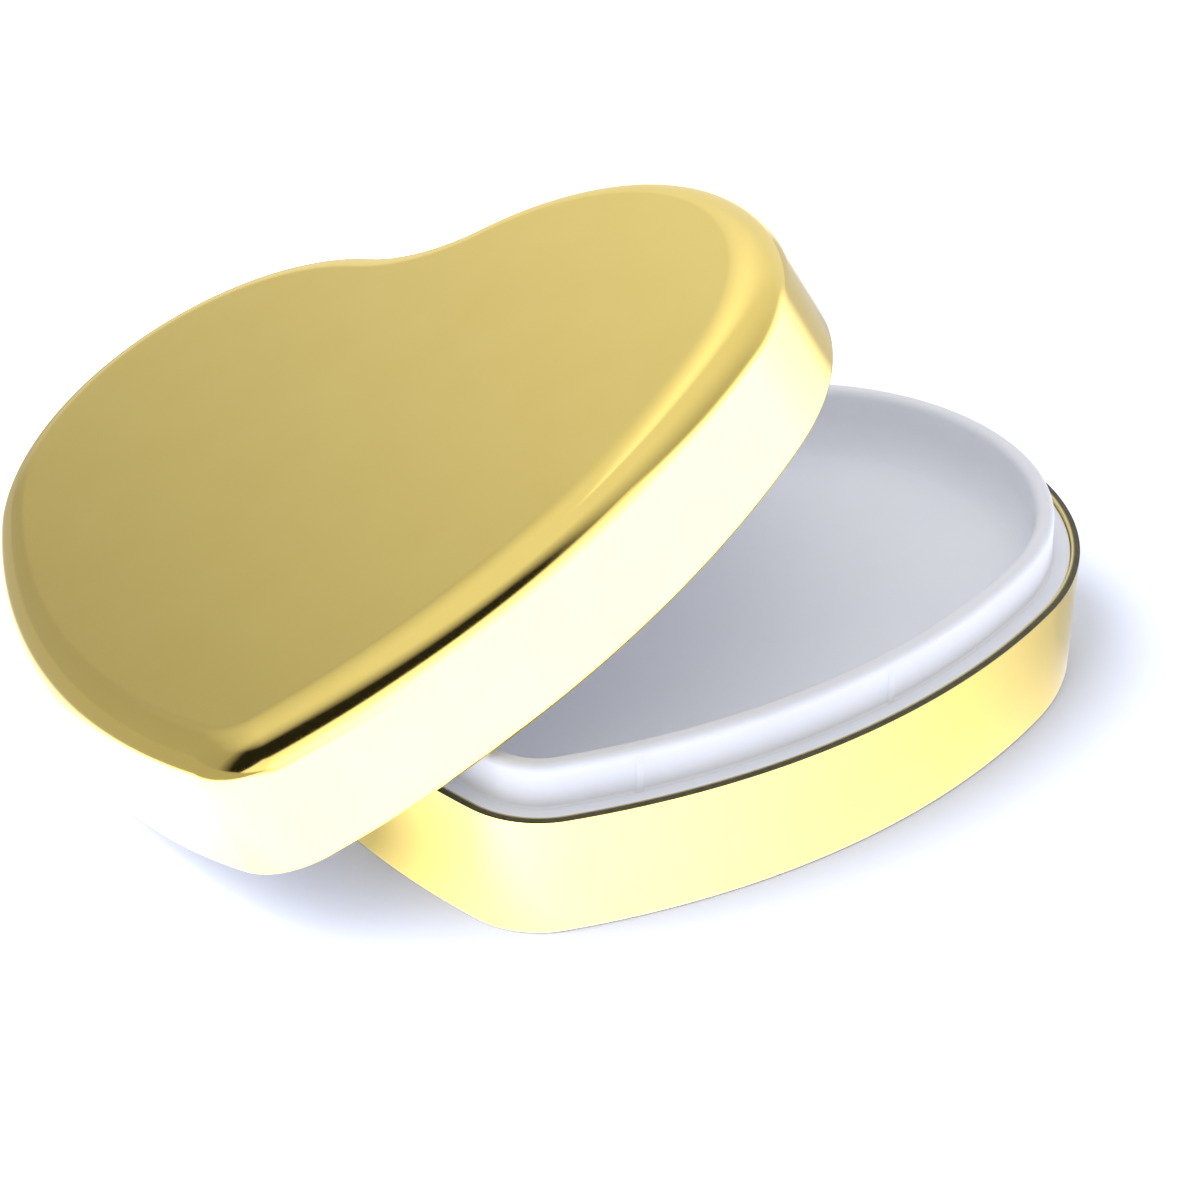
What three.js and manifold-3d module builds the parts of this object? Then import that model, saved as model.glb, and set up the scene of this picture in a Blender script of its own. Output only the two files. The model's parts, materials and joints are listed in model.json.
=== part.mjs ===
// A heart-shaped keepsake box with a lift-off lid, in millimetres, +Z up.
// Two polished gold shells each hold a white moulded liner. The base's liner is a shallow
// tray with a collar that stands above the gold rim, and the lid's liner slips over it.
// The lid is off the box: it leans on the collar with its low edge on the table.
// The origin is the middle of the base's underside, and +Y runs from the tip to the notch.
import * as THREE from 'three';
import { mergeVertices } from 'three/addons/utils/BufferGeometryUtils.js';
import Module from 'manifold-3d';

// Heart outline, seen from above, at the outside of the gold rims
const LOBE_RADIUS = 25;
const LOBE_SPREAD = 15; // from the middle line to each lobe's centre
const NOTCH_RADIUS = 12.5; // hollow between the lobes
const FLANK_RADIUS = 76;
const TIP_RADIUS = 8.4;
const TIP_REACH = 42.7; // from the line of the lobes' centres to the tip's centre

// Gold shells
const SHELL_WALL = 0.8;
const BASE_HEIGHT = 11.7;
const BASE_TAPER = 0.5; // how far the wall leans in from rim to underside
const BASE_EDGE = 0.5; // radius round the underside
const TRIM_EDGE = 0.12; // radius on both sides of the base's trimmed rim
const LID_HEIGHT = 12.9;
const LID_TAPER = 0.4; // how far the wall leans in from rim to fillet
const LID_FILLET = 4.1; // radius round the lid's top

// White liners
const LINER_WALL = 1.4;
const LEDGE_DROP = 0.3; // from the gold rim down to the ledge round the collar
const COLLAR_INSET = 2.5; // from the outside of the gold rim to the outside of the collar
const COLLAR_WALL = 1.7;
const COLLAR_HEIGHT = 3.9; // above the gold rim
const LIP_RADIUS = 0.7;
const TRAY_DEPTH = 5.5; // from the collar's top to the tray's floor
const TRAY_FILLET = 3;
const LID_LINER_RECESS = 0.3; // from the lid's gold rim up to its liner
const LID_LINER_FILLET = 1.5;

// Ribs on the collar that grip the lid
const RIB_RADIUS = 0.45;
const RIB_PROUD = 0.2;
const RIB_LEAD = 0.6; // length of the taper at a rib's top
const RIB_FROM_TIP = 10.2; // along the collar from the tip to the first rib
const RIB_SPACING = 26;
const RIBS_PER_FLANK = 2;

// Clearances
const LINER_GAP = 0.3; // between a liner and its shell
const COLLAR_FIT = 0.25; // between the collar and the lid's liner when the box is shut
const REST_GAP = 0.3; // between the leaning lid and the collar
const TABLE_GAP = 0.1; // between the leaning lid's lowest point and the table

// Where the taken-off lid lies, seen from above
const LID_SHIFT_X = -18.3;
const LID_SHIFT_Y = -6.6;
const LID_TURN = THREE.MathUtils.degToRad(-4.25);

// Facets
const TIP_STEPS = 6;
const FLANK_STEPS = 8;
const LOBE_STEPS = 20;
const NOTCH_STEPS = 4;
const ROUND_STEPS = 6; // on rims and fillets
const EDGE_STEPS = 3; // on a trimmed rim
const RIB_SIDES = 12;

const COLLAR_TOP = BASE_HEIGHT + COLLAR_HEIGHT;
const LEDGE_Z = BASE_HEIGHT - LEDGE_DROP;
const FOOT_Z = SHELL_WALL + LINER_GAP;
const TRAY_FLOOR_Z = COLLAR_TOP - TRAY_DEPTH;
const LINER_INSET = SHELL_WALL + LINER_GAP;
const LID_LINER_INSET = COLLAR_INSET - COLLAR_FIT;

const QUARTER = Math.PI / 2;
const wasm = await Module();
wasm.setup();

const angleOf = (vector) => Math.atan2(vector.y, vector.x);

// Points from one angle to another round a centre. The last one is left to the next arc.
function arc(centre, radius, from, to, steps) {
  return Array.from({ length: steps }, (_, i) => {
    const angle = from + ((to - from) * i) / steps;
    return new THREE.Vector2(centre.x + radius * Math.cos(angle), centre.y + radius * Math.sin(angle));
  });
}

// The heart is a chain of arcs that run into each other without a corner: tip, flank, lobe, notch.
// Setting it in by a distance changes the arcs' radii and keeps their centres, until the tip would
// be sharper than a shell's rim.
// It runs anticlockwise from the tip, and finer multiplies its number of points.
function heartOutline(inset, finer = 1) {
  const middle = (TIP_REACH + TIP_RADIUS - LOBE_RADIUS) / 2;
  const lobe = new THREE.Vector2(LOBE_SPREAD, middle);
  const roundTip = new THREE.Vector2(0, middle - TIP_REACH);
  const notch = new THREE.Vector2(0, middle + Math.sqrt((NOTCH_RADIUS + LOBE_RADIUS) ** 2 - LOBE_SPREAD ** 2));
  const flank = flankCentre(lobe, roundTip);

  const flankRadius = FLANK_RADIUS - inset;
  const tipRadius = Math.max(TIP_RADIUS - inset, SHELL_WALL / 2);
  const tip = new THREE.Vector2(0, flank.y - Math.sqrt((flankRadius - tipRadius) ** 2 - flank.x ** 2));

  const tipEnd = angleOf(tip.clone().sub(flank));
  const flankEnd = angleOf(lobe.clone().sub(flank));
  const lobeEnd = angleOf(notch.clone().sub(lobe));
  const half = [
    ...arc(tip, tipRadius, -QUARTER, tipEnd, TIP_STEPS * finer),
    ...arc(flank, flankRadius, tipEnd, flankEnd, FLANK_STEPS * finer),
    ...arc(lobe, LOBE_RADIUS - inset, flankEnd, lobeEnd, LOBE_STEPS * finer),
    ...arc(notch, NOTCH_RADIUS + inset, lobeEnd - Math.PI, -QUARTER, NOTCH_STEPS * finer),
  ];
  const notchBottom = new THREE.Vector2(0, notch.y - NOTCH_RADIUS - inset);
  const otherHalf = half.slice(1).reverse().map((point) => new THREE.Vector2(-point.x, point.y));
  return [...half, notchBottom, ...otherHalf];
}

// The right flank's arc holds the lobe's circle and the tip's circle, and touches both.
function flankCentre(lobe, tip) {
  const toLobe = FLANK_RADIUS - LOBE_RADIUS;
  const toTip = FLANK_RADIUS - TIP_RADIUS;
  const between = tip.clone().sub(lobe);
  const distance = between.length();
  const along = (distance ** 2 + toLobe ** 2 - toTip ** 2) / (2 * distance);
  const aside = Math.sqrt(toLobe ** 2 - along ** 2);
  const direction = between.normalize();
  const inward = new THREE.Vector2(direction.y, -direction.x);
  return lobe.clone().addScaledVector(direction, along).addScaledVector(inward, aside);
}

// Sections are lists of points whose x is the distance in from the gold rim and whose y is the height.
const station = (inset, z) => new THREE.Vector2(inset, z);

function bend(inset, z, radius, from, to, steps = ROUND_STEPS) {
  const end = station(inset + radius * Math.cos(to), z + radius * Math.sin(to));
  return [...arc(station(inset, z), radius, from, to, steps), end];
}

const COINCIDENT = 1e-6;

// Carries a section round the heart and closes it with a flat face at each end.
// The section runs from the face that looks down, round the outside, to the face that looks up.
function sweep(section) {
  const stations = section.filter((point, i) => i === 0 || point.distanceTo(section[i - 1]) > COINCIDENT);
  const outlines = stations.map((point) => heartOutline(point.x));
  const count = outlines[0].length;
  const positions = stations.flatMap((point, i) => outlines[i].flatMap((p) => [p.x, p.y, point.y]));

  const index = [];
  for (let i = 0; i + 1 < stations.length; i += 1) {
    for (let j = 0; j < count; j += 1) {
      const near = i * count + j;
      const next = i * count + ((j + 1) % count);
      index.push(near, next, next + count, near, next + count, near + count);
    }
  }
  const last = (stations.length - 1) * count;
  for (const [a, b, c] of THREE.ShapeUtils.triangulateShape(outlines[0], [])) {
    index.push(a, c, b);
  }
  for (const [a, b, c] of THREE.ShapeUtils.triangulateShape(outlines.at(-1), [])) {
    index.push(last + a, last + b, last + c);
  }

  const geometry = new THREE.BufferGeometry();
  geometry.setAttribute('position', new THREE.Float32BufferAttribute(positions, 3));
  geometry.setIndex(index);
  return geometry;
}

// Gold shells

const baseLean = (z) => BASE_TAPER * (1 - z / BASE_HEIGHT);
const lidLean = (z) => (LID_TAPER * z) / (LID_HEIGHT - LID_FILLET);

// The base's rim is trimmed flat. The lid's is rounded, so that it passes over the collar.
function baseShellSection() {
  const edge = Math.min(TRIM_EDGE, SHELL_WALL / 2);
  return [
    ...bend(BASE_TAPER + BASE_EDGE, BASE_EDGE, BASE_EDGE, -QUARTER, -2 * QUARTER),
    ...bend(edge, BASE_HEIGHT - edge, edge, 2 * QUARTER, QUARTER, EDGE_STEPS),
    ...bend(SHELL_WALL - edge, BASE_HEIGHT - edge, edge, QUARTER, 0, EDGE_STEPS),
    station(baseLean(SHELL_WALL) + SHELL_WALL, SHELL_WALL),
  ];
}

function lidShellSection() {
  const rimRadius = SHELL_WALL / 2;
  const filletInset = LID_TAPER + LID_FILLET;
  const filletZ = LID_HEIGHT - LID_FILLET;
  return [
    ...bend(filletInset, filletZ, LID_FILLET - SHELL_WALL, QUARTER, 2 * QUARTER),
    ...bend(rimRadius, rimRadius, rimRadius, 0, -2 * QUARTER),
    ...bend(filletInset, filletZ, LID_FILLET, 2 * QUARTER, QUARTER),
  ];
}

// White liners

function baseLinerSection() {
  const skirtOut = (z) => baseLean(z) + LINER_INSET;
  const skirtIn = (z) => skirtOut(z) + LINER_WALL;
  const underside = TRAY_FLOOR_Z - LINER_WALL;
  const trayInset = COLLAR_INSET + COLLAR_WALL;
  const lip = Math.min(LIP_RADIUS, COLLAR_WALL / 2);
  const fillet = Math.min(TRAY_FILLET, TRAY_DEPTH - lip);
  return [
    station(skirtIn(underside), underside),
    station(skirtIn(FOOT_Z), FOOT_Z),
    station(skirtOut(FOOT_Z), FOOT_Z),
    station(skirtOut(LEDGE_Z), LEDGE_Z),
    station(COLLAR_INSET, LEDGE_Z),
    ...bend(COLLAR_INSET + lip, COLLAR_TOP - lip, lip, 2 * QUARTER, QUARTER),
    ...bend(trayInset - lip, COLLAR_TOP - lip, lip, QUARTER, 0),
    ...bend(trayInset + fillet, TRAY_FLOOR_Z + fillet, fillet, 2 * QUARTER, 3 * QUARTER),
  ];
}

function lidLinerSection() {
  const top = LID_HEIGHT - LINER_INSET;
  const ceiling = top - LINER_WALL;
  const fillet = LID_LINER_FILLET;
  return [
    ...bend(LID_LINER_INSET + fillet, ceiling - fillet, fillet, QUARTER, 2 * QUARTER),
    station(LID_LINER_INSET, LID_LINER_RECESS),
    station(lidLean(LID_LINER_RECESS) + LINER_INSET, LID_LINER_RECESS),
    ...bend(LID_TAPER + LID_FILLET, LID_HEIGHT - LID_FILLET, LID_FILLET - LINER_INSET, 2 * QUARTER, QUARTER),
  ];
}

// Ribs stand on the ledge against the collar, and taper at the top to lead the lid on.
function collarRibs() {
  const collar = heartOutline(COLLAR_INSET);
  const rootZ = (TRAY_FLOOR_Z + LEDGE_Z) / 2;
  const topZ = COLLAR_TOP - LIP_RADIUS;
  const section = [
    new THREE.Vector2(0, rootZ),
    new THREE.Vector2(RIB_RADIUS, rootZ),
    new THREE.Vector2(RIB_RADIUS, topZ - RIB_LEAD),
    new THREE.Vector2(RIB_RADIUS - RIB_PROUD, topZ),
    new THREE.Vector2(0, topZ),
  ];
  const ribs = [];
  for (let i = 0; i < RIBS_PER_FLANK; i += 1) {
    const { point, outward } = placeAlong(collar, RIB_FROM_TIP + i * RIB_SPACING);
    const centre = point.addScaledVector(outward, RIB_PROUD - RIB_RADIUS);
    for (const side of [-1, 1]) {
      const rib = new THREE.LatheGeometry(section, RIB_SIDES);
      rib.rotateX(QUARTER);
      rib.translate(side * centre.x, centre.y, 0);
      ribs.push(rib);
    }
  }
  return ribs;
}

// The point at a distance along an outline from its start, and the way out of the heart there.
function placeAlong(outline, distance) {
  let left = distance;
  let i = 0;
  while (left > outline[i].distanceTo(outline[i + 1])) {
    left -= outline[i].distanceTo(outline[i + 1]);
    i += 1;
  }
  const direction = outline[i + 1].clone().sub(outline[i]).normalize();
  return {
    point: outline[i].clone().addScaledVector(direction, left),
    outward: new THREE.Vector2(direction.y, -direction.x),
  };
}

function solidOf(geometry) {
  const bare = geometry.clone();
  bare.deleteAttribute('normal');
  bare.deleteAttribute('uv');
  const merged = mergeVertices(bare);
  const vertProperties = new Float32Array(merged.attributes.position.array);
  const triVerts = new Uint32Array(merged.index.array);
  return new wasm.Manifold(new wasm.Mesh({ numProp: 3, vertProperties, triVerts }));
}

function joined(body, additions) {
  const solid = additions.reduce((sum, addition) => sum.add(solidOf(addition)), solidOf(body));
  const mesh = solid.getMesh();
  const geometry = new THREE.BufferGeometry();
  geometry.setAttribute('position', new THREE.Float32BufferAttribute(mesh.vertProperties, 3));
  geometry.setIndex([...mesh.triVerts]);
  return geometry;
}

// The lid's lean. Its rim lies in a plane that rests on three things: the table at the rim's
// lowest point, and the collar's top at the two places where the rim crosses it.

const RIM_FINENESS = 24;
const SETTLING_ROUNDS = 40;
const FIRST_SLOPE = 0.4; // up to the right

function isInside(point, outline) {
  let inside = false;
  outline.forEach((a, i) => {
    const b = outline.at(i - 1);
    const spans = a.y > point.y !== b.y > point.y;
    if (spans && point.x < a.x + ((point.y - a.y) / (b.y - a.y)) * (b.x - a.x)) inside = !inside;
  });
  return inside;
}

function lidPlace(normal, z) {
  const heading = new THREE.Vector3(-Math.sin(LID_TURN), Math.cos(LID_TURN), 0);
  const along = heading.addScaledVector(normal, -heading.dot(normal)).normalize();
  const across = along.clone().cross(normal);
  return new THREE.Matrix4().makeBasis(across, along, normal).setPosition(LID_SHIFT_X, LID_SHIFT_Y, z);
}

function leaningPlace() {
  const collarOutside = heartOutline(COLLAR_INSET);
  const collarInside = heartOutline(COLLAR_INSET + COLLAR_WALL);
  const overCollar = ({ world }) => isInside(world, collarOutside) && !isInside(world, collarInside);
  const rim = [
    [SHELL_WALL / 2, 0],
    [LID_LINER_INSET, LID_LINER_RECESS],
  ].flatMap(([inset, z]) => heartOutline(inset, RIM_FINENESS).map((p) => new THREE.Vector3(p.x, p.y, z)));

  let normal = new THREE.Vector3(-FIRST_SLOPE, 0, 1).normalize();
  let z = COLLAR_TOP;
  for (let round = 0; round < SETTLING_ROUNDS; round += 1) {
    const place = lidPlace(normal, z);
    const points = rim.map((local) => ({ local, world: local.clone().applyMatrix4(place) }));
    const crossings = points.filter(overCollar);

    // Where the lowest of some points would put the rim's plane, once it sits at its seat
    const seated = (candidates, seat) => {
      const low = candidates.reduce((a, b) => (b.world.z < a.world.z ? b : a));
      return new THREE.Vector3(low.world.x, low.world.y, seat).addScaledVector(normal, -low.local.z);
    };
    const foot = seated(points, TABLE_GAP);
    const back = seated(crossings.filter(({ world }) => world.y > 0), COLLAR_TOP + REST_GAP);
    const front = seated(crossings.filter(({ world }) => world.y < 0), COLLAR_TOP + REST_GAP);

    normal = front.clone().sub(foot).cross(back.clone().sub(foot)).normalize();
    z = foot.z - (normal.x * (LID_SHIFT_X - foot.x) + normal.y * (LID_SHIFT_Y - foot.y)) / normal.z;
  }
  return lidPlace(normal, z);
}

// The four pieces

const polishedGold = { color: 0xd8bc62, roughness: 0.1, metalness: 1 };
const whiteMoulding = { color: 0xeceef2, roughness: 0.5, metalness: 0 };

function piece(name, geometry, finish) {
  geometry.computeVertexNormals();
  const mesh = new THREE.Mesh(geometry, new THREE.MeshStandardMaterial(finish));
  mesh.name = name;
  return mesh;
}

const base = new THREE.Group();
base.add(piece('base_shell', sweep(baseShellSection()), polishedGold));
base.add(piece('base_liner', joined(sweep(baseLinerSection()), collarRibs()), whiteMoulding));

const lid = new THREE.Group();
lid.add(piece('lid_shell', sweep(lidShellSection()), polishedGold));
lid.add(piece('lid_liner', sweep(lidLinerSection()), whiteMoulding));
lid.applyMatrix4(leaningPlace());

const box = new THREE.Group();
box.add(base, lid);

export default box;
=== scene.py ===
import json
from math import atan2, cos, pi, radians, sin, sqrt

import bpy
from mathutils import Matrix, Quaternion, Vector


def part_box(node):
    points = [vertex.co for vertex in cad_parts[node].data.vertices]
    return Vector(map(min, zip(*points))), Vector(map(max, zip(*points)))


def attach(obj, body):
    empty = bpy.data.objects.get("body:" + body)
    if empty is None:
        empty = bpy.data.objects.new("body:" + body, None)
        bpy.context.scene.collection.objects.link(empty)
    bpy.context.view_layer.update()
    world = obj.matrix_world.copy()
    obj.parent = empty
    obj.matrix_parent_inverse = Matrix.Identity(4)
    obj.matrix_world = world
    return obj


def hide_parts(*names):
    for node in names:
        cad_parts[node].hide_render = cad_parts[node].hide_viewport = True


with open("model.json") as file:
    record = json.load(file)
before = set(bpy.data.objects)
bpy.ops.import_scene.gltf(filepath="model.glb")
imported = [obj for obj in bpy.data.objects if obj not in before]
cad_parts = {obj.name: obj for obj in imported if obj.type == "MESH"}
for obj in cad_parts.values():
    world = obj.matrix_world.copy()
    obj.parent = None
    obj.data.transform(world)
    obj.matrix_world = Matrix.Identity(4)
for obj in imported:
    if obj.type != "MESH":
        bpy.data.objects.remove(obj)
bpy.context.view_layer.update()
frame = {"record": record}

# Gold base pan: the lower half of the box, which stands on the table and holds the tray.
# It is thin aluminium sheet pressed into a shallow heart, polished and anodised gold. Its rim
# is trimmed flat last, and the cut edge carries a painted dark band: painted shade for the gap at the rim.
MM = 0.001
LOBE_RADIUS = 25 * MM
LOBE_SPREAD = 15 * MM  # from the middle line to each lobe's centre
NOTCH_RADIUS = 12.5 * MM
FLANK_RADIUS = 76 * MM
TIP_RADIUS = 8.4 * MM
TIP_REACH = 42.7 * MM  # from the line of the lobes' centres to the tip's centre
SHEET = 0.8 * MM
TRIM_EDGE = 0.12 * MM  # round on both sides of the trimmed rim
BASE_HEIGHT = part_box("base_shell")[1].z
BASE_TAPER = 0.5 * MM  # how far the wall leans in from rim to underside
BASE_EDGE = 0.5 * MM  # round at the underside
QUARTER = pi / 2

LOBES_Y = (TIP_REACH + TIP_RADIUS - LOBE_RADIUS) / 2
LOBE = Vector((LOBE_SPREAD, LOBES_Y))
TIP = Vector((0, LOBES_Y - TIP_REACH))
NOTCH = Vector((0, LOBES_Y + sqrt((NOTCH_RADIUS + LOBE_RADIUS) ** 2 - LOBE_SPREAD**2)))


def flank_centre():
    """The middle of the right flank's arc, which holds the lobe's circle and the tip's and touches both."""
    to_lobe = FLANK_RADIUS - LOBE_RADIUS
    to_tip = FLANK_RADIUS - TIP_RADIUS
    apart = (TIP - LOBE).length
    along = (apart**2 + to_lobe**2 - to_tip**2) / (2 * apart)
    aside = sqrt(to_lobe**2 - along**2)
    direction = (TIP - LOBE) / apart
    return LOBE + along * direction + aside * Vector((direction.y, -direction.x))


FLANK = flank_centre()
FLANK_FROM = atan2(TIP.y - FLANK.y, TIP.x - FLANK.x)
FLANK_TO = atan2(LOBE.y - FLANK.y, LOBE.x - FLANK.x)
LOBE_TO = atan2(NOTCH.y - LOBE.y, NOTCH.x - LOBE.x)
TIP_STEPS, FLANK_STEPS, LOBE_STEPS, NOTCH_STEPS, ROUND_STEPS = 30, 40, 100, 20, 12


def steps(start, end, count):
    """Even steps from start to one short of end."""
    return [start + (end - start) * i / count for i in range(count)]


def arc(centre, radius, angles):
    return [centre + radius * Vector((cos(angle), sin(angle))) for angle in angles]


def heart(inset, flank_stops=()):
    """Points anticlockwise from the tip, set in from the rim. The arcs join with no corner."""
    flank_angles = sorted([*steps(FLANK_FROM, FLANK_TO, FLANK_STEPS), *flank_stops])
    half = [
        *arc(TIP, TIP_RADIUS - inset, steps(-QUARTER, FLANK_FROM, TIP_STEPS)),
        *arc(FLANK, FLANK_RADIUS - inset, flank_angles),
        *arc(LOBE, LOBE_RADIUS - inset, steps(FLANK_TO, LOBE_TO, LOBE_STEPS)),
        *arc(NOTCH, NOTCH_RADIUS + inset, steps(LOBE_TO - pi, -QUARTER, NOTCH_STEPS)),
    ]
    notch_bottom = NOTCH - Vector((0, NOTCH_RADIUS + inset))
    return [*half, notch_bottom, *(Vector((-p.x, p.y)) for p in reversed(half[1:]))]


def bend(inset, z, radius, start, end, count=ROUND_STEPS):
    """A round in a section, whose points are (distance in from the rim, height)."""
    angles = [*steps(start, end, count), end]
    return [(inset + radius * cos(angle), z + radius * sin(angle)) for angle in angles]


HOLD = 0.12 * MM  # rings this close to a bend keep the flat beside it flat in the light
CREASE = radians(35)  # edges that turn more than this stay sharp


def held(section):
    """The section's stations (inset, height, swell), with more of them where a flat meets a bend.

    Each cap gets a flat start, and each long straight stretch a station near both its ends.
    """
    section = [(*point, 0)[:3] for point in section]
    (first_in, first_z, _), (last_in, last_z, _) = section[0], section[-1]
    section = [(first_in + HOLD, first_z, 0), *section, (last_in + HOLD, last_z, 0)]
    stations = [section[0]]
    for a, b in zip(section, section[1:]):
        length = sqrt((b[0] - a[0]) ** 2 + (b[1] - a[1]) ** 2)
        shares = [HOLD / length, 1 - HOLD / length, 1] if length > 3 * HOLD else [1]
        stations += [tuple(p + (q - p) * share for p, q in zip(a, b)) for share in shares if length > 0]
    return stations


def in_scene(name, data):
    """An object that shows this mesh, lamp or camera in the scene."""
    thing = bpy.data.objects.new(name, data)
    bpy.context.scene.collection.objects.link(thing)
    return thing


def swept(name, section, outline):
    """Carries a section round the heart, from its face that looks down to its face that looks up.

    Each point keeps its distance in from the rim, as the attribute inset.
    """
    stations = held(section)
    rings = [[(p.x, p.y, z) for p in outline(inset, swell)] for inset, z, swell in stations]
    count = len(rings[0])
    faces = []
    for i in range(len(rings) - 1):
        for j in range(count):
            near, far = i * count + j, i * count + (j + 1) % count
            faces.append((near, far, far + count, near + count))
    last = (len(rings) - 1) * count
    faces.append(tuple(reversed(range(count))))
    faces.append(tuple(range(last, last + count)))
    mesh = bpy.data.meshes.new(name)
    mesh.from_pydata([point for ring in rings for point in ring], [], faces)
    insets = [inset for inset, _, _ in stations for _ in range(count)]
    mesh.attributes.new("inset", "FLOAT", "POINT").data.foreach_set("value", insets)
    mesh.shade_smooth()
    mesh.set_sharp_from_angle(angle=CREASE)
    return in_scene(name, mesh)


def plain_heart(inset, _):
    return heart(inset)


def base_lean(z):
    return BASE_TAPER * (1 - z / BASE_HEIGHT)


def linear(code):
    """An sRGB hex colour as the linear colour that Blender's sockets hold."""
    parts = [int(code[i : i + 2], 16) / 255 for i in (1, 3, 5)]
    return (*(p / 12.92 if p <= 0.04045 else ((p + 0.055) / 1.055) ** 2.4 for p in parts), 1)


def add(tree, kind, inputs=None, **settings):
    """Adds a node with its settings. An input is given a value, or another node's output to link."""
    node = tree.nodes.new("ShaderNode" + kind)
    for name, value in settings.items():
        setattr(node, name, value)
    for name, value in (inputs or {}).items():
        if isinstance(value, bpy.types.NodeSocket):
            tree.links.new(value, node.inputs[name])
        else:
            node.inputs[name].default_value = value
    return node


def blank_material(name):
    """A material with no nodes yet."""
    material = bpy.data.materials.new(name)
    material.use_nodes = True
    material.node_tree.nodes.clear()
    return material


PRESS_WAVE, PRESS_DEPTH = 16 * MM, 0.012 * MM
BUFF_LENGTH, BUFF_DEPTH = 9 * MM, 0.0008 * MM
BUFF_WIDTH = 0.22 * MM  # coarser than real buffing lines, so that they show
DYE_PATCH = 7 * MM
NOISE_LOW, NOISE_HIGH = 0.3, 0.7  # most of a noise pattern lies between these


def gold_anodised_aluminium():
    """Polished sheet under a thin gold dye: a near mirror, slightly wavy from the press.

    Faint buffing lines and patches of weaker dye break up its reflections a little.
    """
    material = blank_material("gold_anodised_aluminium")
    tree = material.node_tree
    place = add(tree, "TexCoord").outputs["Object"]
    waves = add(tree, "TexNoise", {"Vector": place, "Scale": 1 / PRESS_WAVE, "Detail": 1.0})
    stretch = (1 / BUFF_LENGTH, 1 / BUFF_WIDTH, 1 / BUFF_WIDTH)
    stretched = add(tree, "Mapping", {"Vector": place, "Scale": stretch})
    buffing = add(tree, "TexNoise", {"Vector": stretched.outputs["Vector"], "Scale": 1.0, "Detail": 2.0})
    haze = add(tree, "TexNoise", {"Vector": place, "Scale": 1 / DYE_PATCH, "Detail": 3.0})
    dye = add(
        tree,
        "Mix",
        {"Factor": haze.outputs["Fac"], "A": linear("#f0d77e"), "B": linear("#ebd176")},
        data_type="RGBA",
    )
    gloss = add(
        tree,
        "MapRange",
        {
            "Value": buffing.outputs["Fac"],
            "From Min": NOISE_LOW,
            "From Max": NOISE_HIGH,
            "To Min": 0.08,
            "To Max": 0.12,
        },
    )
    wavy = add(tree, "Bump", {"Height": waves.outputs["Fac"], "Strength": 1.0, "Distance": PRESS_DEPTH})
    lined = add(
        tree,
        "Bump",
        {
            "Height": buffing.outputs["Fac"],
            "Strength": 0.4,
            "Distance": BUFF_DEPTH,
            "Normal": wavy.outputs["Normal"],
        },
    )
    surface = add(
        tree,
        "BsdfPrincipled",
        {
            "Base Color": dye.outputs["Result"],
            "Metallic": 1.0,
            "Roughness": gloss.outputs["Result"],
            "Normal": lined.outputs["Normal"],
        },
    )
    add(tree, "OutputMaterial", {"Surface": surface.outputs["BSDF"]})
    return material


# The trimmed rim's dark band is painted shade, standing in for the shaded gap at the rim.
DARK_MOTTLE = 0.6 * MM
PAINTED_DARK_TO, GOLD_FROM = 0.6 * SHEET, 0.85 * SHEET  # in from the rim's outer side


def trimmed_rim_painted_shade():
    """The sheet's cut edge: dull metal with a painted dark band of shade on its outer side, and gold on its
    inner side.
    """
    material = blank_material("trimmed_edge_painted_shade")
    tree = material.node_tree
    place = add(tree, "TexCoord").outputs["Object"]
    dark_mottle = add(tree, "TexNoise", {"Vector": place, "Scale": 1 / DARK_MOTTLE, "Detail": 2.0})
    # painted shade: the dark band on the rim's outer side, mottled a little
    painted_dark = add(
        tree,
        "Mix",
        {"Factor": dark_mottle.outputs["Fac"], "A": linear("#403d2e"), "B": linear("#5f5b47")},
        data_type="RGBA",
    )
    inset = add(tree, "Attribute", attribute_name="inset").outputs["Fac"]
    inward = add(tree, "MapRange", {"Value": inset, "From Min": PAINTED_DARK_TO, "From Max": GOLD_FROM})
    tone = add(
        tree,
        "Mix",
        {"Factor": inward.outputs["Result"], "A": painted_dark.outputs["Result"], "B": linear("#d9c98c")},
        data_type="RGBA",
    )
    surface = add(
        tree, "BsdfPrincipled", {"Base Color": tone.outputs["Result"], "Metallic": 1.0, "Roughness": 0.4}
    )
    add(tree, "OutputMaterial", {"Surface": surface.outputs["BSDF"]})
    return material


gold = gold_anodised_aluminium()
base_pan = swept(
    "gold_base_pan",
    [
        *bend(BASE_TAPER + BASE_EDGE, BASE_EDGE, BASE_EDGE, -QUARTER, -2 * QUARTER),
        *bend(TRIM_EDGE, BASE_HEIGHT - TRIM_EDGE, TRIM_EDGE, 2 * QUARTER, QUARTER),
        *bend(SHEET - TRIM_EDGE, BASE_HEIGHT - TRIM_EDGE, TRIM_EDGE, QUARTER, 0),
        (base_lean(SHEET) + SHEET, SHEET),
    ],
    plain_heart,
)
base_pan.data.materials.append(gold)
base_pan.data.materials.append(trimmed_rim_painted_shade())
for face in base_pan.data.polygons:
    face.material_index = int(face.center.z > BASE_HEIGHT - TRIM_EDGE)
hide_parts("base_shell")
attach(base_pan, "base")

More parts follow.
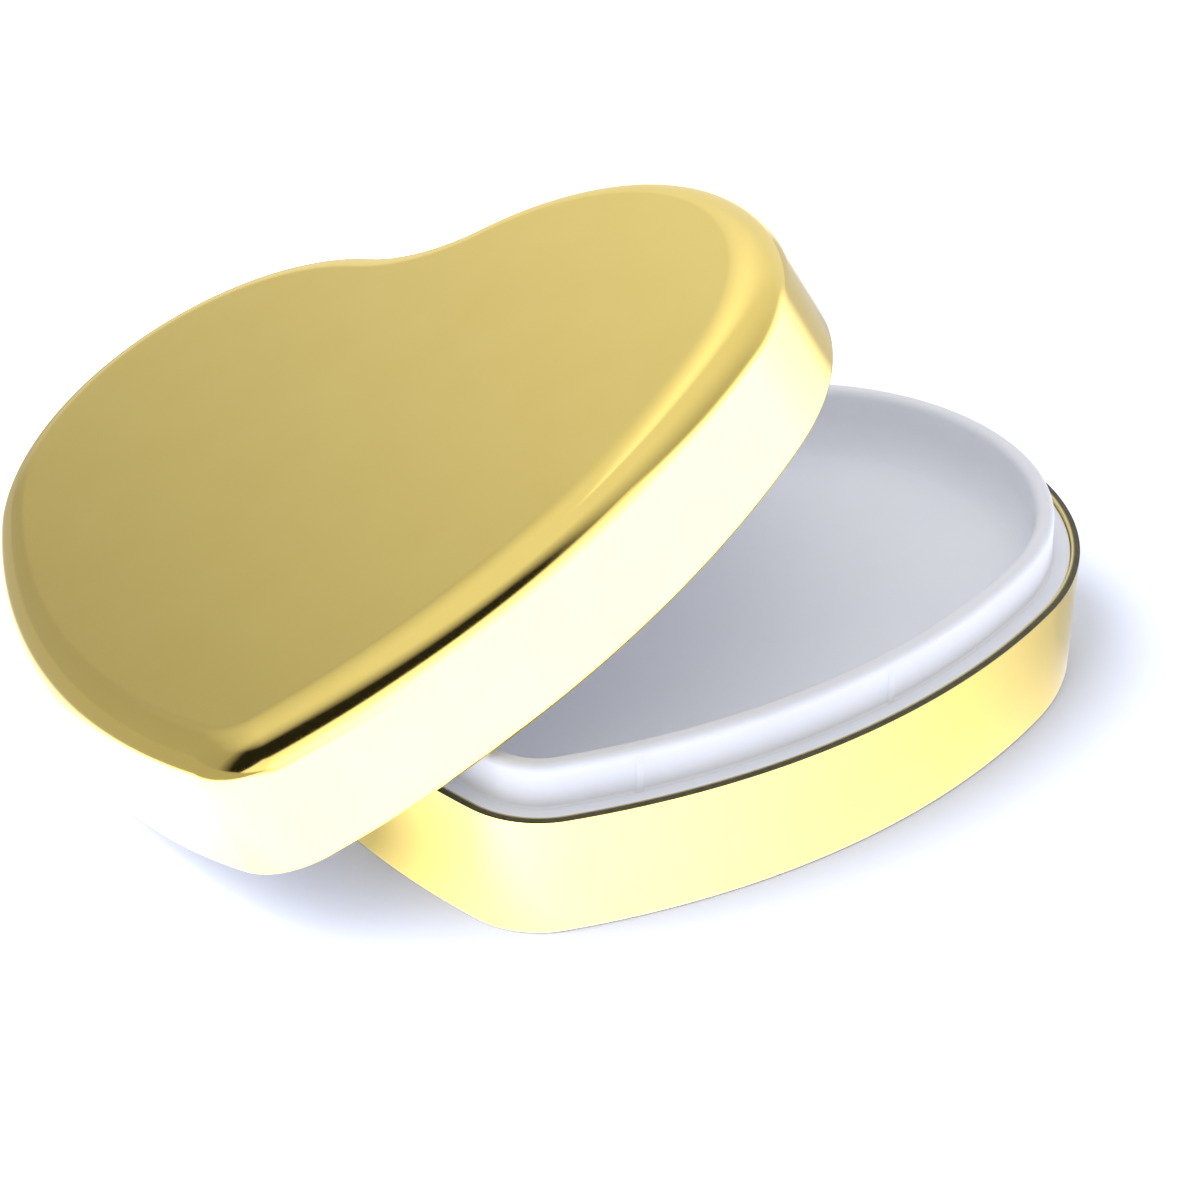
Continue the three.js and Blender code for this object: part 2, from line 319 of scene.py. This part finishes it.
# White tray: a shallow tray with a collar round it that the lid slips over, moulded in white
# polypropylene and pressed into the gold pan. Its ledge lies just under the gold rim, and
# four small ribs on the collar grip the lid.
COLLAR_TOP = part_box("base_liner")[1].z
PRESS_FIT = 0.05 * MM  # between a moulding and the gold sheet
MOULDING_WALL = 1.4 * MM
LEDGE_DROP = 0.3 * MM
LEDGE_EDGE = 0.15 * MM  # round at the ledge's outer side
COLLAR_INSET = 2.5 * MM
COLLAR_WALL = 1.7 * MM
COLLAR_ROOT = 0.2 * MM  # slope where the collar meets the ledge
LIP_RADIUS = 0.7 * MM
TRAY_DEPTH = 5.5 * MM
TRAY_FILLET = 3 * MM
RIB_PROUD = 0.2 * MM
RIB_HALF_WIDTH = 0.4 * MM
RIB_LEAD = 0.6 * MM  # taper at a rib's top
RIB_FROM_TIP = 10.2 * MM
RIB_SPACING = 26 * MM
RIBS_PER_FLANK = 2
RIB_STOPS = 8  # points across half a rib
RIB_REACH = 1.4 * MM  # points further from a rib than this are on another wall

ledge_z = BASE_HEIGHT - LEDGE_DROP
tray_floor = COLLAR_TOP - TRAY_DEPTH
collar_tip = (TIP_RADIUS - COLLAR_INSET) * (FLANK_FROM + QUARTER)
collar_flank = FLANK_RADIUS - COLLAR_INSET
rib_angles = [
    FLANK_FROM + (RIB_FROM_TIP + i * RIB_SPACING - collar_tip) / collar_flank for i in range(RIBS_PER_FLANK)
]
rib_step = RIB_HALF_WIDTH / RIB_STOPS / collar_flank
rib_stops = [angle + k * rib_step for angle in rib_angles for k in range(-RIB_STOPS, RIB_STOPS + 1)]


def ribbed_heart(inset, swell):
    """The heart with a round swelling at each rib."""
    points = heart(inset, rib_stops)
    for angle in rib_angles:
        out = Vector((cos(angle), sin(angle)))
        for side in (1, -1):
            facing = Vector((side * out.x, out.y))
            rib = Vector((side * FLANK.x, FLANK.y)) + collar_flank * facing
            for point in points:
                aside = abs((point - rib).cross(facing)) / RIB_HALF_WIDTH
                if aside < 1 and (point - rib).length < RIB_REACH:
                    point += facing * swell * sqrt(1 - aside**2)
    return points


MOULD_GRAIN = 0.3 * MM  # coarser than a real mould's grain, so that it shows
GRAIN_DEPTH = 0.006 * MM
FLOW_PATCH = 12 * MM


def white_polypropylene():
    """Moulded plastic, satin: soft broad highlights, a faint cool tone and a fine eroded grain."""
    material = blank_material("white_moulded_polypropylene")
    tree = material.node_tree
    place = add(tree, "TexCoord").outputs["Object"]
    grain = add(tree, "TexNoise", {"Vector": place, "Scale": 1 / MOULD_GRAIN, "Detail": 2.0})
    flow = add(tree, "TexNoise", {"Vector": place, "Scale": 1 / FLOW_PATCH, "Detail": 2.0})
    tone = add(
        tree,
        "Mix",
        {"Factor": flow.outputs["Fac"], "A": linear("#f1f2f6"), "B": linear("#ebecf2")},
        data_type="RGBA",
    )
    satin = add(
        tree,
        "MapRange",
        {
            "Value": grain.outputs["Fac"],
            "From Min": NOISE_LOW,
            "From Max": NOISE_HIGH,
            "To Min": 0.55,
            "To Max": 0.65,
        },
    )
    bumped = add(tree, "Bump", {"Height": grain.outputs["Fac"], "Strength": 0.5, "Distance": GRAIN_DEPTH})
    surface = add(
        tree,
        "BsdfPrincipled",
        {
            "Base Color": tone.outputs["Result"],
            "Roughness": satin.outputs["Result"],
            "IOR": 1.49,
            "Specular IOR Level": 0.2,
            "Normal": bumped.outputs["Normal"],
        },
    )
    add(tree, "OutputMaterial", {"Surface": surface.outputs["BSDF"]})
    return material


white = white_polypropylene()
skirt_inset = SHEET + PRESS_FIT
tray_inset = COLLAR_INSET + COLLAR_WALL
tray_under = tray_floor - MOULDING_WALL
foot_z = SHEET + PRESS_FIT
tray = swept(
    "white_tray",
    [
        (base_lean(tray_under) + skirt_inset + MOULDING_WALL, tray_under),
        (base_lean(foot_z) + skirt_inset + MOULDING_WALL, foot_z),
        (base_lean(foot_z) + skirt_inset, foot_z),
        *bend(skirt_inset + LEDGE_EDGE, ledge_z - LEDGE_EDGE, LEDGE_EDGE, 2 * QUARTER, QUARTER),
        (COLLAR_INSET - COLLAR_ROOT, ledge_z),
        (COLLAR_INSET, ledge_z + COLLAR_ROOT, RIB_PROUD),
        (COLLAR_INSET, COLLAR_TOP - LIP_RADIUS - RIB_LEAD, RIB_PROUD),
        *bend(COLLAR_INSET + LIP_RADIUS, COLLAR_TOP - LIP_RADIUS, LIP_RADIUS, 2 * QUARTER, QUARTER),
        *bend(tray_inset - LIP_RADIUS, COLLAR_TOP - LIP_RADIUS, LIP_RADIUS, QUARTER, 0),
        *bend(tray_inset + TRAY_FILLET, tray_floor + TRAY_FILLET, TRAY_FILLET, 2 * QUARTER, 3 * QUARTER),
    ],
    ribbed_heart,
)
tray.data.materials.append(white)
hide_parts("base_liner")
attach(tray, "base")

# Gold lid cap: the upper half of the box, pressed from the same sheet as the pan and finished
# with it. Its flat top runs into the wall through a round edge. It is lifted off and leans on
# the collar with its left edge on the table.
LID_HEIGHT = 12.9 * MM
LID_TAPER = 0.4 * MM  # how far the wall leans in from rim to round edge
LID_FILLET = 4.1 * MM
LID_ROUND_STEPS = 36  # enough for clean reflections
RIM_RADIUS = SHEET / 2
LID_TURN = radians(-4.25)  # from the base's heading, seen from above

lid_top = next(mount for mount in frame["record"]["mounts"] if mount["name"] == "lid_top")
lid_normal = Vector(lid_top["axis"]).normalized()
heading = Vector((-sin(LID_TURN), cos(LID_TURN), 0))
lid_along = (heading - heading.dot(lid_normal) * lid_normal).normalized()
lid_place = Matrix((lid_along.cross(lid_normal), lid_along, lid_normal)).transposed().to_4x4()
lid_place.translation = Vector(lid_top["pos_m"]) - lid_normal * LID_HEIGHT
edge_inset = LID_TAPER + LID_FILLET
edge_z = LID_HEIGHT - LID_FILLET
lid_cap = swept(
    "gold_lid_cap",
    [
        *bend(edge_inset, edge_z, LID_FILLET - SHEET, QUARTER, 2 * QUARTER),
        *bend(RIM_RADIUS, RIM_RADIUS, RIM_RADIUS, 0, -2 * QUARTER),
        *bend(edge_inset, edge_z, LID_FILLET, 2 * QUARTER, QUARTER, LID_ROUND_STEPS),
    ],
    plain_heart,
)
lid_cap.data.materials.append(gold)
lid_cap.data.transform(lid_place)
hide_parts("lid_shell")
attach(lid_cap, "lid")

# White lid cup: the moulding inside the lid, in the same white polypropylene as the tray. It is
# pressed into the gold cap, and its wall slips over the collar when the box is shut.
COLLAR_FIT = 0.25 * MM  # between the collar and the cup when the box is shut
CUP_RECESS = 0.3 * MM  # from the gold rim up to the cup's edge
CUP_EDGE = 0.2 * MM  # round on both sides of the cup's edge
CUP_FILLET = 1.5 * MM
CEILING_WALL = 1.65 * MM

cup_inset = COLLAR_INSET - COLLAR_FIT
cup_outside = SHEET + PRESS_FIT
cup_ceiling = LID_HEIGHT - cup_outside - CEILING_WALL
cup = swept(
    "white_lid_cup",
    [
        *bend(cup_inset + CUP_FILLET, cup_ceiling - CUP_FILLET, CUP_FILLET, QUARTER, 2 * QUARTER),
        *bend(cup_inset - CUP_EDGE, CUP_RECESS + CUP_EDGE, CUP_EDGE, 0, -QUARTER),
        *bend(cup_outside + CUP_EDGE, CUP_RECESS + CUP_EDGE, CUP_EDGE, -QUARTER, -2 * QUARTER),
        *bend(edge_inset, edge_z, LID_FILLET - cup_outside, 2 * QUARTER, QUARTER),
    ],
    plain_heart,
)
cup.data.materials.append(white)
cup.data.transform(lid_place)
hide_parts("lid_liner")
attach(cup, "lid")

# Studio table: a plain white sheet under the box. Only the table takes the table lamp's light,
# which burns it out to white and leaves a soft shadow. Rays off polished metal see a painted glow
# on the sheet instead: a painted reflection brighter than the camera's white, dimmer far in front
# and at the left, with painted shadows near the box. The sheet also has a faint painted glow for
# every ray, and a stronger one for rays off dull faces.
TABLE_REACH = 1.5  # metres from the middle to each side
PAINTED_GLARE = 4.5  # the painted reflection's level, where 1 is the camera's white
OFF_SHEET = (0.55, 0.55, 0.55, 1)  # painted reflection level beyond the sheet's left edge
SHEET_EDGE_WAY = Vector((0.98, 0.2, 0))  # from the sheet's left edge to the box
SHEET_EDGE_NEAR, SHEET_EDGE_FAR = -64 * MM, -72 * MM
FRONT_FULL, FRONT_DIM = 110 * MM, 240 * MM  # the painted glare in front falls off between these
PAINTED_FILL_GLOW = 0.08  # a faint glow painted on the sheet for every ray, which keeps the shadow pale
PAINTED_BOUNCE_GLOW = 0.6  # a glow painted on the sheet for rays off dull faces, for what the white plastic gets beyond the lamp's light
PAPER = "#dde4fa"
ROOM_TINT = (0.97, 0.98, 1.0)  # the room's light is slightly cool

table_mesh = bpy.data.meshes.new("table")
table_corners = [(x * TABLE_REACH, y * TABLE_REACH, 0) for x, y in ((-1, -1), (1, -1), (1, 1), (-1, 1))]
table_mesh.from_pydata(table_corners, [], [(0, 1, 2, 3)])
table = in_scene("table", table_mesh)


def by_bearing(tree, place, stops):
    """A level that changes with the bearing in degrees: 0 is the box's right, and -90 its front."""
    turn = add(tree, "TexGradient", {"Vector": place}, gradient_type="RADIAL")
    levels = add(tree, "ValToRGB", {"Fac": turn.outputs["Fac"]})
    ramp = levels.color_ramp.elements
    for i, (bearing, level) in enumerate(stops):
        position = (bearing + 180) / 360
        stop = ramp[i] if i < 2 else ramp.new(position)
        stop.position = position
        stop.color = (*(tint * level for tint in ROOM_TINT), 1)
    return levels.outputs["Color"]


def seen_in_metal(tree):
    """1 for a ray straight off polished metal, and 0 for the camera's rays and those off dull faces."""
    ray = add(tree, "LightPath").outputs
    straight = add(tree, "Math", {0: ray["Diffuse Depth"], 1: 0.5}, operation="LESS_THAN")
    both = add(
        tree, "Math", {0: ray["Is Glossy Ray"], 1: straight.outputs["Value"]}, operation="MULTIPLY"
    )
    return both.outputs["Value"]


white_sheet = blank_material("white_table_sheet")
paper = white_sheet.node_tree
spot = add(paper, "NewGeometry").outputs["Position"]
painted_glare = by_bearing(
    paper,
    spot,
    (
        (-162, 0.45),
        (-148, 1),
        (20, 1),
        (50, 0.6),
        (62, 0.17),
        (80, 0.17),
        (100, 0.75),
        (115, 1),
        (140, 0.8),
        (165, 0.45),
    ),
)
# Painted shadows in the painted reflection: the glare fades towards each spot's centre.
for painted_shadow_centre, inside, outside, level in (
    (Vector((-18, -26, 0)) * MM, 3 * MM, 26 * MM, 0.2),  # painted shadow between the base and the leaning lid
    (Vector((44, 22, 0)) * MM, 4 * MM, 95 * MM, 0.17),  # painted shadow of the base
):
    away = add(paper, "VectorMath", {0: spot, 1: painted_shadow_centre}, operation="DISTANCE").outputs["Value"]
    painted_shadow_fade = add(paper, "MapRange", {"Value": away, "From Min": inside, "From Max": outside, "To Min": level})
    painted_glare = add(paper, "Math", {0: painted_glare, 1: painted_shadow_fade.outputs["Result"]}, operation="MULTIPLY").outputs["Value"]
front = by_bearing(paper, spot, ((-150, 1), (-130, 0.3), (-75, 0.3), (-50, 1)))
reach = add(paper, "VectorMath", {0: spot}, operation="LENGTH").outputs["Value"]
fall = add(
    paper,
    "MapRange",
    {"Value": reach, "From Min": FRONT_FULL, "From Max": FRONT_DIM, "To Min": 1.0, "To Max": front},
)
painted_glare = add(paper, "Math", {0: painted_glare, 1: fall.outputs["Result"]}, operation="MULTIPLY").outputs["Value"]
painted_glare = add(paper, "Math", {0: painted_glare, 1: PAINTED_GLARE}, operation="MULTIPLY").outputs["Value"]
across = add(paper, "VectorMath", {0: spot, 1: SHEET_EDGE_WAY}, operation="DOT_PRODUCT").outputs["Value"]
on_sheet = add(
    paper, "MapRange", {"Value": across, "From Min": SHEET_EDGE_FAR, "From Max": SHEET_EDGE_NEAR}
)
# painted reflection: the glow that only metal sees on the sheet, with its painted shadows
painted_reflection_colour = add(
    paper, "Mix", {"Factor": on_sheet.outputs["Result"], "A": OFF_SHEET, "B": painted_glare}, data_type="RGBA"
)
painted_reflection = add(paper, "Emission", {"Color": painted_reflection_colour.outputs["Result"]})
matt = add(paper, "BsdfDiffuse", {"Color": linear(PAPER)})
# painted glow: a faint one for every ray, and a stronger one for rays off dull faces
dull_ray = add(paper, "LightPath").outputs["Is Diffuse Ray"]
painted_glow_level = add(paper, "Math", {0: dull_ray, 1: PAINTED_BOUNCE_GLOW, 2: PAINTED_FILL_GLOW}, operation="MULTIPLY_ADD")
painted_glow = add(paper, "Emission", {"Strength": painted_glow_level.outputs["Value"]})
matt_and_painted_glow = add(paper, "AddShader", {0: matt.outputs["BSDF"], 1: painted_glow.outputs["Emission"]})
sheet_seen = add(
    paper,
    "MixShader",
    {0: seen_in_metal(paper), 1: matt_and_painted_glow.outputs["Shader"], 2: painted_reflection.outputs["Emission"]},
)
add(paper, "OutputMaterial", {"Surface": sheet_seen.outputs["Shader"]})
table_mesh.materials.append(white_sheet)

LAMP_STRENGTH = 6.0
LAMP_SPREAD = radians(100)
LAMP_TINT = (1.0, 0.98, 0.94)  # slightly warm, against the cool paper
LAMP_WAY = Vector((-0.78, -0.45, 0.45))  # from the box to the lamp
lit_by_lamp = bpy.data.collections.new("lit_by_table_lamp")
lit_by_lamp.objects.link(table)
lamp_data = bpy.data.lights.new("table_lamp", "SUN")
lamp_data.energy = LAMP_STRENGTH
lamp_data.angle = LAMP_SPREAD
lamp_data.color = LAMP_TINT
lamp = in_scene("table_lamp", lamp_data)
lamp.rotation_euler = LAMP_WAY.to_track_quat("Z", "Y").to_euler()
lamp.light_linking.receiver_collection = lit_by_lamp

# Studio light: a wide soft light overhead and a pale wall behind, with less light from the left
# and a dark room in front, which draws the dark line in the lid's round edge. A low bright screen
# stands in front and to the right. Metal sees all this, and dull faces get a more even room.
OVERHEAD_FULL = 0.93  # heights are on a unit sphere: here the overhead light is full
SCREEN_FALL_FROM, SCREEN_FALL_TO = 0.1, 0.55  # heights between which the screen's light falls
SCREEN_HEAD_LEVEL = 1.2
BACKDROP = (1, 1, 1, 1)  # all that the camera sees of the room

studio = bpy.data.worlds.new("studio")
bpy.context.scene.world = studio
studio.use_nodes = True
sky = studio.node_tree
sky.nodes.clear()
way = add(sky, "TexCoord").outputs["Generated"]
height = add(sky, "SeparateXYZ", {"Vector": way}).outputs["Z"]
walls = by_bearing(
    sky,
    way,
    (
        (-180, 0.52),
        (-142, 0.48),
        (-125, 0.015),
        (-35, 0.02),
        (-20, 0.4),
        (25, 0.75),
        (70, 1.0),
        (125, 1.0),
        (137, 0.47),
        (180, 0.52),
    ),
)
wall_top = by_bearing(
    sky,
    way,
    (
        (-180, 0.52),
        (-150, 0.5),
        (-125, 0.62),
        (-100, 0.77),
        (-45, 0.77),
        (-15, 0.6),
        (20, 0.45),
        (60, 0.36),
        (150, 0.36),
        (180, 0.52),
    ),
)
overhead_light = by_bearing(sky, way, ((60, 1.0), (95, 1.45), (115, 1.45), (135, 1.0)))
overhead = add(sky, "MapRange", {"Value": height, "From Min": wall_top, "From Max": OVERHEAD_FULL})
room = add(
    sky, "Mix", {"Factor": overhead.outputs["Result"], "A": walls, "B": overhead_light}, data_type="RGBA"
)
screen_top = by_bearing(
    sky, way, ((-112, 0), (-90, 0.4), (-60, 0.55), (-15, 0.65), (5, 0.45), (30, 0.3), (55, 0.22), (70, 0))
)
screen_fade = by_bearing(sky, way, ((-15, 0.05), (15, 0.25)))
screen_full = add(sky, "Math", {0: screen_top, 1: screen_fade}, operation="SUBTRACT").outputs["Value"]
screen = add(sky, "MapRange", {"Value": height, "From Min": screen_top, "From Max": screen_full})
screen_foot = by_bearing(sky, way, ((-80, 1.4), (-45, 4.5), (20, 4.5), (50, 2.7), (62, 1.0)))
screen_light = add(
    sky,
    "MapRange",
    {
        "Value": height,
        "From Min": SCREEN_FALL_FROM,
        "From Max": SCREEN_FALL_TO,
        "To Min": screen_foot,
        "To Max": SCREEN_HEAD_LEVEL,
    },
)
screened = add(
    sky,
    "Mix",
    {
        "Factor": screen.outputs["Result"],
        "A": room.outputs["Result"],
        "B": screen_light.outputs["Result"],
    },
    data_type="RGBA",
)
low_light = by_bearing(
    sky, way, ((-180, 0.85), (-130, 0.75), (-90, 0.65), (-30, 0.6), (40, 0.65), (180, 0.85))
)
even_room = add(
    sky,
    "Mix",
    {"Factor": overhead.outputs["Result"], "A": low_light, "B": overhead_light},
    data_type="RGBA",
)
lit_room = add(
    sky,
    "Mix",
    {"Factor": seen_in_metal(sky), "A": even_room.outputs["Result"], "B": screened.outputs["Result"]},
    data_type="RGBA",
)
soft = add(sky, "Background", {"Color": lit_room.outputs["Result"]})
plain = add(sky, "Background", {"Color": BACKDROP})
seen = add(sky, "LightPath").outputs["Is Camera Ray"]
either = add(sky, "MixShader", {0: seen, 1: soft.outputs["Background"], 2: plain.outputs["Background"]})
add(sky, "OutputWorld", {"Surface": either.outputs["Shader"]})
bpy.context.scene.view_settings.view_transform = "Standard"

# Camera: a long lens from in front, a little to the right and above, as the photograph was taken.
EYE = Vector((76.8, -362.24, 234.85)) * MM
AIM = Vector((-0.67, -2.49, 12.0)) * MM
ROLL = radians(0.375)
LENS, SENSOR = 145.2, 36  # Blender takes both in millimetres
camera_data = bpy.data.cameras.new("camera")
camera_data.lens = LENS
camera_data.sensor_width = SENSOR
camera = in_scene("camera", camera_data)
camera.location = EYE
camera.rotation_mode = "QUATERNION"
camera.rotation_quaternion = (AIM - EYE).to_track_quat("-Z", "Y") @ Quaternion((0, 0, 1), ROLL)
bpy.context.scene.camera = camera
